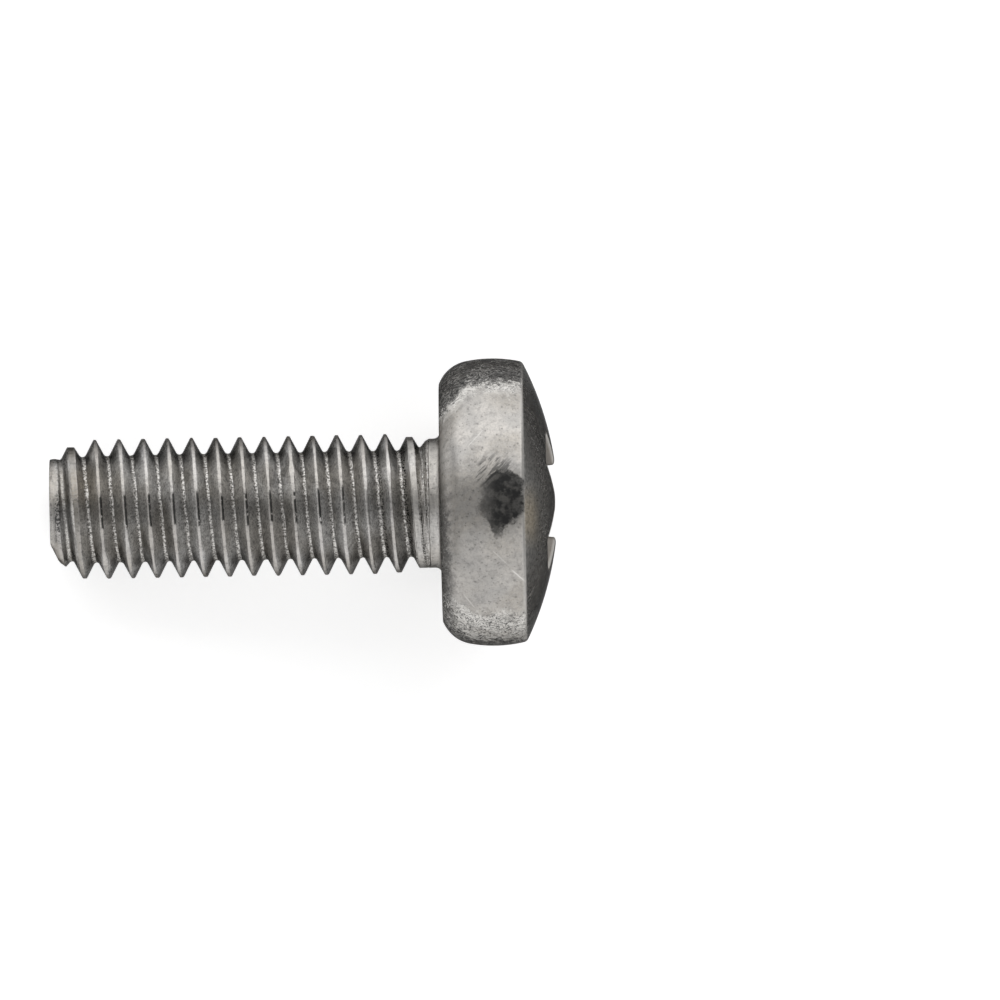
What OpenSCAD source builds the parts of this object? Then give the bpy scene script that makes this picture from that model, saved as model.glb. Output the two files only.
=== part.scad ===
// Small machine screw with a raised round head, a cross recess and a coarse metric thread.
// Millimetres. The origin is the centre of the bearing face under the head.
// The screw lies as it rests on a flat floor, tip toward -X and head toward +X.
// It is modelled along its own axis first, with s = 0 at the bearing face, the head at
// s > 0 and the tip at s < 0, and laid down at the end.

/* [Head] */
// largest diameter of the barrel-shaped side
head_d = 5.94; // [4:0.02:10]
// height from the bearing face to the top of the dome, if the recess did not cut it
head_h = 2.42; // [1.6:0.02:4]
// radius of the domed top
dome_r = 6.4; // [4.5:0.1:14]
// radius of the barrel-shaped side, seen in section
side_r = 2.8; // [2:0.1:10]
// height of the widest place above the bearing face
bulge_h = 1.08; // [0.7:0.02:1.8]
// radius of the soft lower corner
under_r = 0.75; // [0.4:0.05:1]
// how far below its own arc the lower corner is cut off by the bearing face
under_cut = 0.05; // [0.02:0.01:0.2]
// radius of the corner between side and dome
rim_r = 0.2; // [0.05:0.05:0.4]

/* [Cross recess] */
// recess diameter over two opposite wings, at the dome
recess_d = 3.2; // [2:0.05:4.4]
// width of a wing at the dome
wing_w = 0.88; // [0.5:0.02:1.4]
// width of a wing at the floor of the recess
wing_floor_w = 0.62; // [0.3:0.02:1]
// slope of the wing ends, in degrees from the screw's axis
wing_slope = 26.5; // [18:0.5:35]
// size over the flats of the middle core, at the dome
core_w = 1.47; // [1:0.01:2.2]
// size over the flats of the middle core, at the floor
core_floor_w = 0.98; // [0.6:0.01:1.8]
// recess diameter at the floor
floor_d = 1.36; // [0.8:0.02:2]
// slope of the conical floor, in degrees
floor_slope = 28; // [5:1:40]
// diameter of the small pit in the middle of the floor
pit_d = 0.24; // [0.1:0.02:0.5]
// depth of that pit
pit_depth = 0.06; // [0.02:0.01:0.2]
// turn of the recess about the axis, in degrees
recess_turn = 45; // [0:1:90]

/* [Shank] */
// length from the bearing face to the tip
shank_l = 8.1; // [4:0.05:20]
// how far the plain neck between thread and head lies below the crests
neck_drop = 0.105; // [0.04:0.005:0.19]
// length of the plain neck
neck_l = 0.2; // [0.15:0.05:1]
// fillet between neck and bearing face
fillet_r = 0.13; // [0.12:0.01:0.2]

/* [Thread] */
// outside diameter over the crests
thread_d = 2.88; // [2.8:0.01:2.98]
// advance per turn, right-handed
pitch = 0.5; // [0.4:0.01:0.6]
// depth of the groove as a part of the pitch
groove_part = 0.68; // [0.55:0.01:0.72]
// width of the narrow crest as a part of the pitch
crest_part = 0.11; // [0.06:0.01:0.16]
// place of a crest along the axis, measured from the tip on the side that faces the floor
crest_start = 0.34; // [0:0.01:0.5]
// part of the groove's depth that is its rounded bottom
root_round = 0.14; // [0.05:0.01:0.2]
// how far the edge of the flat tip lies below the crests
tip_drop = 0.39; // [0.1:0.01:0.6]
// length over which the first turns grow to full size
lead_l = 0.76; // [0.3:0.02:1.5]
// length over which the groove fades out below the neck
fade_l = 0.32; // [0.1:0.02:0.8]
// length below the neck over which the crests lose height
shrink_l = 0.75; // [0.4:0.05:1.5]
// straight sides that make up one turn of the thread
turn_sides = 40; // [24:8:56]

/* [Hidden] */
$fn = 96;
steel = [0.56, 0.55, 0.53];
far = 4 * head_d;
slip = head_d / 6000;

// the point at distance a from p and b from q, on the left of the way from p to q
function meet(p, a, q, b) =
    let (d = norm(q - p), u = (q - p) / d, x = (d * d + a * a - b * b) / (2 * d),
         y = sqrt(max(a * a - x * x, 0)))
    p + x * u + y * [-u[1], u[0]];

// centres, in the section plane, of the arcs that round the head
side_c = [head_d / 2 - side_r, bulge_h];
dome_c = [0, head_h - dome_r];
corner_y = under_r - under_cut;
corner_c = [side_c[0] + sqrt(pow(side_r - under_r + 2 * slip, 2) - pow(corner_y - bulge_h, 2)),
            corner_y];
rim_c = meet(side_c, side_r - rim_r + slip, dome_c, dome_r - rim_r + slip);
// directions from those centres to where the arcs meet
corner_dir = (corner_c - side_c) / norm(corner_c - side_c);
rim_side_dir = (rim_c - side_c) / norm(rim_c - side_c);
rim_dome_dir = (rim_c - dome_c) / norm(rim_c - dome_c);

// heights of the recess: the wing ends start at the dome and slope down to the floor's edge
recess_top = head_h - dome_r + sqrt(dome_r * dome_r - recess_d * recess_d / 4);
recess_floor = recess_top - (recess_d - floor_d) / 2 / tan(wing_slope);
pit_drop = (floor_d - pit_d) / 2 * tan(floor_slope);

// the fillet leaves a bearing face that is clear of the crests
neck_d = thread_d - 2 * neck_drop;
fillet = max(fillet_r, neck_drop * 1.2);

// thread section: axial distance from the crest as a part of the pitch, and radius
depth = pitch * groove_part;
root_d = thread_d - 2 * depth;
flank = (1 - root_round) * groove_part * tan(30);
half_crest = crest_part / 2;
section = [[-half_crest, thread_d / 2], [half_crest, thread_d / 2],
           [half_crest + flank, root_d / 2 + root_round * depth], [0.5, root_d / 2],
           [1 - half_crest - flank, root_d / 2 + root_round * depth]];
per_turn = len(section);
thread_end = -neck_l / 2;
first_s = -shank_l + crest_start - 2 * pitch;
station_count = per_turn * (ceil((shank_l - crest_start) / pitch) + 3);
near_end = 0.04 * pitch;

// radius of the blank that limits the crests at the lead and toward the neck
function lead_radius(s) = thread_d / 2 - tip_drop * (1 - (s + shank_l) / lead_l);
function neck_radius(s) =
    thread_d / 2 - neck_drop * 4 / 3 * (s + neck_l + shrink_l) / shrink_l;
function ease(t) = let (u = min(max(t, 0), 1)) u * u * (3 - 2 * u);
function blank_radius(r, s) = min(r, lead_radius(s), max(neck_radius(s), neck_d / 2));
function fade(r, s) = let (w = ease((s + neck_l + fade_l) / fade_l))
    r * (1 - w) + neck_d / 2 * 0.997 * w;
// radius of the section at a part u of the pitch after a crest
function section_radius(u) = let (v = u - floor(u))
    v < half_crest ? thread_d / 2
    : v > 1 - half_crest ? thread_d / 2
    : v < half_crest + flank ? thread_d / 2 - (1 - root_round) * depth * (v - half_crest) / flank
    : v > 1 - half_crest - flank
        ? thread_d / 2 - (1 - root_round) * depth * (1 - half_crest - v) / flank
    : root_d / 2 + root_round * depth * abs(v - 0.5) / (0.5 - half_crest - flank);
function surface_radius(s, j) =
    fade(blank_radius(section_radius((s - first_s) / pitch - j / turn_sides), s), s);
// place along the axis of station n in column j, kept between the tip and the neck
function station(n, j) =
    let (s = first_s + pitch * (floor(n / per_turn) + section[n % per_turn][0]
             + j / turn_sides))
    s < -shank_l + near_end ? -shank_l : s > thread_end - near_end ? thread_end : s;
function station_radius(n, j, s) =
    s <= -shank_l || s >= thread_end ? surface_radius(s, j)
    : fade(blank_radius(section[n % per_turn][1], s), s);
// row of the station in its column: all that are cut off share the first or the last one
function row_of(n, j) = let (s = station(n, j))
    s <= -shank_l ? 0 : s >= thread_end ? station_count + 1 : n + 1;
function point_of(row, j) =
    let (s = row == 0 ? -shank_l : row == station_count + 1 ? thread_end
             : station(row - 1, j),
         r = row == 0 || row == station_count + 1 ? surface_radius(s, j)
             : station_radius(row - 1, j, s))
    [r * cos(360 * j / turn_sides), r * sin(360 * j / turn_sides), s];

// angle of the axis over the floor: the floor touches a crest near the tip, and the soft lower
// corner or the side of the head
function rest_angle(c, r) = min([for (row = [0 : station_count + 1])
    let (p = point_of(row, 0), dx = c[1] - p[2], dy = c[0] - p[0])
    if (row == 0 || row_of(row - 1, 0) == row) atan2(dy, dx) + asin(r / norm([dx, dy]))]);
tilt_corner = rest_angle(corner_c, under_r);
tilt_side = rest_angle(side_c, side_r);
join_angle = atan2(side_c[1] - corner_c[1], corner_c[0] - side_c[0]);
tilt = tilt_corner > join_angle ? tilt_corner : tilt_side;

module head_section() {
    intersection() {
        union() {
            // body of the head, without the sectors that its two corner arcs fill
            difference() {
                intersection() {
                    translate(dome_c) circle(r = dome_r);
                    translate(side_c) circle(r = side_r);
                }
                polygon([corner_c, corner_c + far * corner_dir, [far, -far],
                         [corner_c[0], -far]]);
                polygon([rim_c, rim_c + far * rim_dome_dir, rim_c + far * rim_side_dir]);
            }
            translate(corner_c) circle(r = under_r);
            translate(rim_c) circle(r = rim_r);
        }
        square([head_d, head_h * 2]);
    }
}

module neck_section() {
    bite = head_h / 8;
    translate([0, -neck_l]) square([neck_d / 2, neck_l + bite]);
    difference() {
        translate([neck_d / 4, -fillet]) square([neck_d / 4 + fillet, fillet + bite]);
        translate([neck_d / 2 + fillet, -fillet]) circle(r = fillet);
    }
}

// a bar across the head whose sides lean, as wide as w0 at the floor and w1 at the dome
module leaning_bar(w0, w1) {
    k = (w1 - w0) / 2 / (recess_top - recess_floor);
    low = recess_floor - head_h / 2;
    high = head_h * 1.5;
    a = w0 / 2 - k * (recess_floor - low);
    b = w1 / 2 + k * (high - recess_top);
    rotate([90, 0, 90]) translate([0, 0, -far / 2]) linear_extrude(height = far)
        polygon([[-a, low], [a, low], [b, high], [-b, high]]);
}

module recess() {
    grow = (head_h * 1.5 - recess_top) * tan(wing_slope);
    rotate([0, 0, recess_turn]) intersection() {
        rotate_extrude() polygon([
            [0, recess_floor - pit_drop - pit_depth],
            [pit_d / 2, recess_floor - pit_drop],
            [floor_d / 2, recess_floor],
            [recess_d / 2 + grow, head_h * 1.5],
            [0, head_h * 1.5]]);
        union() {
            leaning_bar(wing_floor_w, wing_w);
            rotate([0, 0, 90]) leaning_bar(wing_floor_w, wing_w);
            intersection() {
                rotate([0, 0, 45]) leaning_bar(core_floor_w, core_w);
                rotate([0, 0, -45]) leaning_bar(core_floor_w, core_w);
            }
        }
    }
}

module thread() {
    bottom = (station_count + 2) * turn_sides;
    points = concat(
        [for (j = [0 : turn_sides - 1]) for (row = [0 : station_count + 1]) point_of(row, j)],
        [[0, 0, -shank_l], [0, 0, thread_end]]);
    // the last column meets the first one a whole turn of stations further on
    faces = [for (j = [0 : turn_sides - 1]) for (n = [0 : station_count - 2])
        let (wrap = j == turn_sides - 1,
             j2 = wrap ? 0 : j + 1,
             n2 = wrap ? n + per_turn : n,
             a = row_of(n, j),
             d = row_of(n + 1, j),
             b = row_of(n2, j2),
             c = row_of(n2 + 1, j2),
             h = station_count + 2)
        for (t = [[a + j * h, c + j2 * h, b + j2 * h], [a + j * h, d + j * h, c + j2 * h]])
            if (t[0] != t[1] && t[1] != t[2] && t[0] != t[2]) t];
    caps = [for (j = [0 : turn_sides - 1])
        let (j2 = (j + 1) % turn_sides, h = station_count + 2,
             e = station_count + 1)
        for (t = [[bottom, j * h, j2 * h], [bottom + 1, j2 * h + e, j * h + e]]) t];
    polyhedron(points = points, faces = concat(faces, caps), convexity = 12);
}

module machine_screw() {
    color(steel) rotate([0, 90 - tilt, 0]) {
        difference() {
            rotate_extrude() {
                head_section();
                neck_section();
            }
            recess();
        }
        thread();
    }
}

machine_screw();
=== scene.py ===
import bpy
import numpy as np
from functools import reduce
from math import asin, atan2, ceil, cos, pi, radians, sin, sqrt, tan
from types import SimpleNamespace
from mathutils import Matrix, Vector


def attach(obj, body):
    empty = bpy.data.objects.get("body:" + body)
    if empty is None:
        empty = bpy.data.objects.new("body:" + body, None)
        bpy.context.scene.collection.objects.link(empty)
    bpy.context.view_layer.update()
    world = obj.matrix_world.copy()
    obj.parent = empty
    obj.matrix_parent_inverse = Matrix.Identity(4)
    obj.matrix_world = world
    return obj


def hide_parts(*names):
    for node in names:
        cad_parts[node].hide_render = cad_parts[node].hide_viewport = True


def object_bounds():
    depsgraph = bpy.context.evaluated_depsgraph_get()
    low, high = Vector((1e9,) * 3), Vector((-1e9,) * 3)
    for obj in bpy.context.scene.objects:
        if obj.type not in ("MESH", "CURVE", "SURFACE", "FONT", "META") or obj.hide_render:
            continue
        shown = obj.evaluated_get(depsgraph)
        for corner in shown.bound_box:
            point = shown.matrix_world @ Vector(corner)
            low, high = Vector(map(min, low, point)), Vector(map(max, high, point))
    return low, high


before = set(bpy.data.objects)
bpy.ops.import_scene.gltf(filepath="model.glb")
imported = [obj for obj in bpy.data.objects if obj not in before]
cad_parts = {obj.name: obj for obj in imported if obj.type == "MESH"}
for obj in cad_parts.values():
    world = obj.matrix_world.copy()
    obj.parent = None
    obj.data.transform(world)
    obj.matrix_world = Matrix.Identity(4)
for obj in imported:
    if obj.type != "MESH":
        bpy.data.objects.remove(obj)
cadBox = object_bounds()
print("frame loaded")

mm = 0.001

# sizes of the screw in mm and degrees; where they differ from the solid's, they follow the photo
screwSizes = {
    "headDiameter": 5.94, "headHeight": 2.42, "domeRadius": 6.4,
    "sideRadius": 2.8, "bulgeHeight": 1.08,
    "cornerRadius": 0.75, "cornerCut": 0.05, "rimRadius": 0.14,
    "recessDiameter": 3.2, "wingWidth": 0.88, "wingFloorWidth": 0.62, "wingSlope": 26.5,
    "coreWidth": 1.47, "coreFloorWidth": 1.12, "floorDiameter": 1.36, "floorSlope": 28.0,
    "wingCorner": (0.06, 0.09),     # radius of the wings' corners, at the floor and at the dome
    "coreRound": (0.4, 0.8),        # how much of the inner corners is round, likewise
    "pitDiameter": 0.24, "pitDepth": 0.06, "recessTurn": 45.0,
    "lipWidth": 0.11, "lipDepth": 0.07,     # soft lip round the recess
    "shankLength": 8.1, "neckDrop": 0.105, "neckLength": 0.2, "filletRadius": 0.13,
    "threadDiameter": 2.88, "pitch": 0.5, "groovePart": 0.68, "crestPart": 0.118,
    "crestStart": 0.34, "flankAngle": 27.0, "rootRadius": 0.085,
    "crestBlend": 0.005, "rootBlend": 0.010,        # roundness where they meet the flanks
    "crestWaver": (0.2, 0.004, 0.006),      # share of the width, height and the root's depth
    "burr": (9.415, 0.026, 0.10),           # on one crest: turns from the start, width, reach
    "fadeLength": 0.32, "fadeEnd": 0.06, "fadePower": 1.5,      # the groove runs out at the neck
    "shrinkLength": 0.75, "shrinkRate": 4 / 3,      # the crest sinks toward the neck
    "tipDrop": 0.37, "leadLength": 0.76, "leadWiden": 0.6,      # and toward the tip
    "tipRelief": 0.07, "reliefLength": 0.9,         # a shallower root at the tip
    "tipCut": (0.62, 2.9, -3.2), "cutLength": 0.5, "cutBlend": 0.03,    # slanted, on one side
    "tipInset": 0.035,          # how far the flat face is worn back
    "tipBevel": 0.012, "tipSag": 0.004,
    "tilt": 10.7036,            # how far the axis rises from the floor toward the head
    # points round the axis in each eighth of the recess, up to the ends of the wing's end, its
    # corner, its side, the inner corner and half of the flat between two wings
    "eighth": (8, 14, 28, 33, 36),
    "seed": 7,
}
size = screwSizes
columns = 8 * size["eighth"][-1]
tilt = radians(size["tilt"])
axisDir = Vector((cos(tilt), 0, sin(tilt)))     # from tip to head
topDir = Vector((-sin(tilt), 0, cos(tilt)))     # square to the axis, away from the floor
acrossDir = Vector((0, 1, 0))
rng = np.random.default_rng(size["seed"])


def smoothStep(t):
    # 0 below 0, 1 above 1, and 3t^2 - 2t^3 between them
    t = np.clip(t, 0, 1)
    return t * t * (3 - 2 * t)


def softMin(a, b, blend):
    # the lesser of two surfaces, with the corner between them rounded over a blend width
    return (a + b - np.sqrt((a - b) ** 2 + blend * blend)) / 2


def softMax(a, b, blend):
    # the greater of two surfaces, rounded in the same way
    return (a + b + np.sqrt((a - b) ** 2 + blend * blend)) / 2


def layDown(own):
    # turns points from the screw's own x, y and height along the axis into the row frame:
    # X = x sin(tilt) + s cos(tilt), Y = y, Z = s sin(tilt) - x cos(tilt), in metres
    x, y, s = own[:, 0], own[:, 1], own[:, 2]
    return np.stack([x * sin(tilt) + s * cos(tilt), y, s * sin(tilt) - x * cos(tilt)], -1) * mm


recessTop = size["headHeight"] - size["domeRadius"] + sqrt(
    size["domeRadius"] ** 2 - size["recessDiameter"] ** 2 / 4)
recessFloor = recessTop - (size["recessDiameter"] - size["floorDiameter"]) / 2 / tan(
    radians(size["wingSlope"]))


def domeHeight(radius):
    # a sphere's cap: centre height plus the root of sphere radius^2 - radius^2
    return size["headHeight"] - size["domeRadius"] + np.sqrt(size["domeRadius"] ** 2 - radius ** 2)


def floorHeight(radius):
    # a cone that sinks toward the axis, and a small bowl in its middle
    edge, pit = size["floorDiameter"] / 2, size["pitDiameter"] / 2
    cone = recessFloor - (edge - np.maximum(radius, pit)) * tan(radians(size["floorSlope"]))
    return cone - size["pitDepth"] * np.clip(1 - (radius / pit) ** 2, 0, 1)


def crossLoop(level, widen=0.0):
    # Plan of the cross recess at a level from 0, its floor, to 1, the dome. Each size there is
    # floor + level (dome - floor). An eighth is two arcs, a straight line, an arc and a line.
    arcEnd, cornerEnd, sideEnd, bendEnd, flatEnd = size["eighth"]

    def grown(low, high):
        return low + level * (high - low)

    column = np.arange(columns)
    eighth, step = column // flatEnd, column % flatEnd
    step = np.where(eighth % 2, flatEnd - step, step).astype(float)
    half = grown(size["wingFloorWidth"] / 2, size["wingWidth"] / 2) + widen
    reach = grown(size["floorDiameter"] / 2, size["recessDiameter"] / 2) + widen
    core = grown(size["coreFloorWidth"] / 2, size["coreWidth"] / 2) + 1.5 * widen
    soft = grown(*size["wingCorner"]) + 0.6 * widen
    inner = grown(*size["coreRound"]) * (core - sqrt(2) * half) / tan(pi / 8)
    cornerX = np.sqrt((reach - soft) ** 2 - (half - soft) ** 2)
    cornerAngle = np.arctan2(half - soft, cornerX)
    innerX = core * sqrt(2) - half + inner * tan(pi / 8)
    arc = cornerAngle * step / arcEnd
    turn = cornerAngle + (pi / 2 - cornerAngle) * (step - arcEnd) / (cornerEnd - arcEnd)
    along = (step - cornerEnd) / (sideEnd - cornerEnd)
    bend = pi / 2 - pi / 4 * (step - sideEnd) / (bendEnd - sideEnd)
    flat = (step - bendEnd) / (flatEnd - bendEnd)
    bendX, bendY = innerX - inner * sqrt(0.5), half + inner - inner * sqrt(0.5)
    part = [step <= arcEnd, step <= cornerEnd, step <= sideEnd, step <= bendEnd, step > bendEnd]
    x = np.select(part, [reach * np.cos(arc), cornerX + soft * np.cos(turn),
                         cornerX + (innerX - cornerX) * along, innerX - inner * np.cos(bend),
                         bendX + (core * sqrt(0.5) - bendX) * flat])
    y = np.select(part, [reach * np.sin(arc), half - soft + soft * np.sin(turn), half + 0 * x,
                         half + inner - inner * np.sin(bend),
                         bendY + (core * sqrt(0.5) - bendY) * flat])
    y = np.where(eighth % 2, -y, y)
    quarter = ((eighth + 1) // 2) * (pi / 2) + radians(size["recessTurn"])
    c, s = np.cos(quarter), np.sin(quarter)
    return np.stack([x * c - y * s, x * s + y * c], -1)


def levelWhere(surface):
    # the level at which each column's wall meets a surface, by repeated correction
    level = np.full(columns, 0.5)
    corrections, share = 24, 0.7
    for _ in range(corrections):
        radius = np.linalg.norm(crossLoop(level), axis=1)
        level = level + share * ((surface(radius) - recessFloor) / (recessTop - recessFloor) - level)
    return level


def bezier(a, b, c, t):
    # a point on the curve (1-t)^2 a + 2t(1-t) b + t^2 c
    return (1 - t) ** 2 * a + 2 * t * (1 - t) * b + t * t * c


def headSection():
    # The head's outline from the dome's edge to the neck, as points of radius and height, each
    # with how much it lies on the rim. Its arcs are centre + radius (cos, sin): the rim, which
    # touches dome and side from inside, the barrel-shaped side, the lower corner and, after the
    # straight bearing face, the fillet.
    side = np.array([size["headDiameter"] / 2 - size["sideRadius"], size["bulgeHeight"]])
    dome = np.array([0, size["headHeight"] - size["domeRadius"]])
    fromSide, fromDome = size["sideRadius"] - size["rimRadius"], size["domeRadius"] - size["rimRadius"]
    gap = np.linalg.norm(dome - side)
    u = (dome - side) / gap
    x = (gap ** 2 + fromSide ** 2 - fromDome ** 2) / (2 * gap)
    rim = side + x * u + sqrt(fromSide ** 2 - x ** 2) * np.array([-u[1], u[0]])
    cornerY = size["cornerRadius"] - size["cornerCut"]
    corner = np.array([side[0] + sqrt((size["sideRadius"] - size["cornerRadius"]) ** 2
                                      - (cornerY - side[1]) ** 2), cornerY])
    domeTurn = atan2(*(rim - dome)[::-1])
    rimTurn = atan2(*(rim - side)[::-1])
    cornerTurn = atan2(*(corner - side)[::-1])
    footTurn = -asin(cornerY / size["cornerRadius"])
    rimSteps, sideSteps, cornerSteps, faceSteps, filletSteps = 9, 13, 13, 6, 6
    section = []
    for angle in np.linspace(domeTurn, rimTurn, rimSteps):
        edge = sin(pi * (angle - rimTurn) / (domeTurn - rimTurn))
        section.append((rim + size["rimRadius"] * np.array([cos(angle), sin(angle)]), max(0.0, edge)))
    for angle in np.linspace(rimTurn, cornerTurn, sideSteps)[1:]:
        section.append((side + size["sideRadius"] * np.array([cos(angle), sin(angle)]), 0.0))
    for angle in np.linspace(cornerTurn, footTurn, cornerSteps)[1:-1]:
        section.append((corner + size["cornerRadius"] * np.array([cos(angle), sin(angle)]), 0.0))
    footR = corner[0] + sqrt(size["cornerRadius"] ** 2 - cornerY ** 2)
    neckR = size["threadDiameter"] / 2 - size["neckDrop"]
    fillet = size["filletRadius"]
    for r in (footR, footR - 0.03, *np.linspace(footR, neckR + fillet, faceSteps)[1:]):
        section.append((np.array([r, 0.0]), 0.0))
    for angle in np.linspace(pi / 2, pi, filletSteps)[1:]:
        section.append((np.array([neckR + fillet * (1 + cos(angle)), fillet * (sin(angle) - 1)]), 0.0))
    section.append((np.array([neckR, -size["neckLength"]]), 0.0))
    return section


def headRings():
    # Rings from the middle of the recess floor, up its walls, over the soft lip, the dome and
    # the head's section to the neck. Each ring carries marks from 0 to 1: inside the recess, on
    # the lip, on the rim edge, on the dome, and on the thread's crest.
    span = recessTop - recessFloor
    low, high = levelWhere(floorHeight), levelWhere(domeHeight)
    rings, marks = [], []

    def add(plan, height, recess=0.0, lip=0.0, rim=0.0, dome=0.0):
        rings.append(np.stack([plan[:, 0], plan[:, 1], height + 0 * plan[:, 0]], -1))
        marks.append((recess, lip, rim, dome, 0))

    # the floor, and the round where it turns up into the wall
    foot = crossLoop(low)
    footRadius = np.linalg.norm(foot, axis=1)
    for part in (0.02, 0.05, 0.09, 0.13, 0.17, 0.2, 0.3, 0.42, 0.54, 0.66, 0.78, 0.88):
        plan = foot * part
        add(plan, floorHeight(np.linalg.norm(plan, axis=1)), recess=1)
    roundIn, roundUp = 0.06, 0.05
    inside = foot * (1 - roundIn / footRadius)[:, None]
    up = low + roundUp / span
    upPlan = crossLoop(up)
    for t in np.linspace(0, 1, 5):
        add(bezier(inside, foot, upPlan, t),
            bezier(floorHeight(footRadius - roundIn), floorHeight(footRadius),
                   recessFloor + up * span, t), recess=1)
    # the wall, then the lip
    wallTop = high - size["lipDepth"] / span
    for t in np.linspace(0, 1, 12)[1:]:
        level = up + (wallTop - up) * t
        add(crossLoop(level), recessFloor + level * span, recess=1 - 0.25 * float(t))
    topPlan, edgePlan, outPlan = crossLoop(wallTop), crossLoop(high), crossLoop(high, size["lipWidth"])
    outRadius = np.linalg.norm(outPlan, axis=1)
    for t in np.linspace(0, 1, 9)[1:]:
        add(bezier(topPlan, edgePlan, outPlan, t),
            bezier(recessFloor + wallTop * span, recessFloor + high * span, domeHeight(outRadius), t),
            recess=0.75 * float(1 - smoothStep(t * 2.2)), lip=float(sin(pi * min(1, t * 1.05)) ** 0.7),
            dome=float(t))
    # the dome, straight out from the lip, each column at its own angle round the axis
    section = headSection()
    even = radians(size["recessTurn"]) + 2 * pi * np.arange(columns) / columns
    turn = np.arctan2(outPlan[:, 1], outPlan[:, 0])
    turn = turn + 2 * pi * np.round((even - turn) / (2 * pi))
    domeEnd = section[0][0][0]
    for t in np.linspace(0, 1, 16)[1:-1]:
        radius = outRadius + (domeEnd - outRadius) * t
        add(radius[:, None] * np.stack([np.cos(turn), np.sin(turn)], -1), domeHeight(radius), dome=1)
    # the columns even out on their way down
    for i, (point, edge) in enumerate(section):
        share = float(smoothStep(i / (len(section) - 8)))
        angle = turn * (1 - share) + even * share
        add(point[0] * np.stack([np.cos(angle), np.sin(angle)], -1), point[1], rim=edge,
            dome=float(smoothStep(1.6 - i / 3)))
    return rings, marks


waveStarts, waveRates = rng.uniform(0, 2 * pi, (3, 9)), rng.uniform(1.3, 11.0, (3, 9))


def crestTop(travel):
    # The crest at an angle travelled along the helix, a little uneven: its radius, half its
    # width there, the flank's height at that width, and a wave for the root. Each wave is the
    # sum of sin(rate * travel + start), over 3. The crest sinks on a cone at the tip and toward the
    # neck, and a sunk crest is wider by the flanks' slope, or by part of that at the tip. One
    # burr widens it by a bell curve, exp(-(distance / reach)^2).
    crestR, pitch = size["threadDiameter"] / 2, size["pitch"]
    wave = [sum(np.sin(travel * rate + start) for start, rate in zip(starts, rates)) / 3
            for starts, rates in zip(waveStarts, waveRates)]
    line = pitch * travel / (2 * pi) + size["crestStart"]       # the crest's height over the tip
    lead = size["tipDrop"] * np.maximum(1 - line / size["leadLength"], 0)
    shrinkStart = size["shankLength"] - size["neckLength"] - size["shrinkLength"]
    shrink = size["neckDrop"] * np.clip(
        size["shrinkRate"] * (line - shrinkStart) / size["shrinkLength"], 0, 1)
    sunk = crestR - np.maximum(lead, shrink)
    wider, higher, _ = size["crestWaver"]
    edge = pitch * size["crestPart"] / 2 * (1 + wider * wave[0]) + (
        size["leadWiden"] * lead + shrink) * tan(radians(size["flankAngle"]))
    burrTurns, burrWidth, burrReach = size["burr"]
    edge = edge + burrWidth * np.exp(-((travel - 2 * pi * burrTurns) / burrReach) ** 2)
    return sunk + higher * wave[1], edge, sunk, wave[2]


def neckFade(s):
    # 0 on the thread and 1 on the plain neck, as a power of the distance
    start = -size["neckLength"] - size["fadeLength"]
    return np.clip((s - start) / (size["fadeLength"] - size["fadeEnd"]), 0, 1) ** size["fadePower"]


def threadRadius(s, turn):
    # Radius of the shank at height s and angle round the axis. The crest line climbs one pitch
    # a turn, so the phase (s - start)/pitch - turn/2pi says how far a point is from it. From
    # there outward: a narrow flat crest, a straight flank and a root, which is an arc,
    # bottom + R - root of R^2 - distance^2. The groove fades out at the neck, and a slanted
    # cut, a + b rise + c rise^2 from the axis, takes off one side of the tip.
    pitch, crestR, rootR = size["pitch"], size["threadDiameter"] / 2, size["rootRadius"]
    phase = (s + size["shankLength"] - size["crestStart"]) / pitch - turn / (2 * pi)
    whole = np.round(phase)
    away = np.abs(phase - whole) * pitch
    top, edge, sunk, uneven = crestTop(turn + 2 * pi * whole)
    flank = sunk - (away - edge) / tan(radians(size["flankAngle"]))
    rise = s + size["shankLength"]
    bottom = (crestR - pitch * size["groovePart"] + size["crestWaver"][2] * uneven
              - size["tipRelief"] * smoothStep(1 - rise / size["reliefLength"]))
    fromRoot = np.clip(pitch / 2 - away, 0, rootR * 0.97)
    root = bottom + rootR - np.sqrt(rootR ** 2 - fromRoot ** 2)
    radius = softMin(softMax(flank, root, size["rootBlend"]), top, size["crestBlend"])
    fade = neckFade(s)
    radius = radius * (1 - fade) + (crestR - size["neckDrop"]) * fade
    a, b, c = size["tipCut"]
    cut = (a + b * rise + c * rise ** 2) / np.maximum(-np.sin(turn), 0.05)
    return np.where(rise < size["cutLength"], softMin(radius, cut, size["cutBlend"]), radius)


def rowParts(travel):
    # Where a pitch's rows lie between its crest, 0, and the root, 0.5: the crest's middle, one
    # row near its edge, two rows just inside and outside the edge, and three in the root, or
    # evenly spread where the crest is too wide for them.
    beside = 0.012
    edge = np.minimum(crestTop(travel)[1] / size["pitch"], 0.45)
    outside = edge + beside
    rest = 0.5 - outside
    inRoot = [np.maximum(part, outside + share * rest)
              for part, share in ((0.352, 0.25), (0.405, 0.5), (0.455, 0.75))]
    return [0 * edge, np.maximum(0.5 * edge, edge - 0.03), edge - beside, outside, *inRoot]


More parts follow.
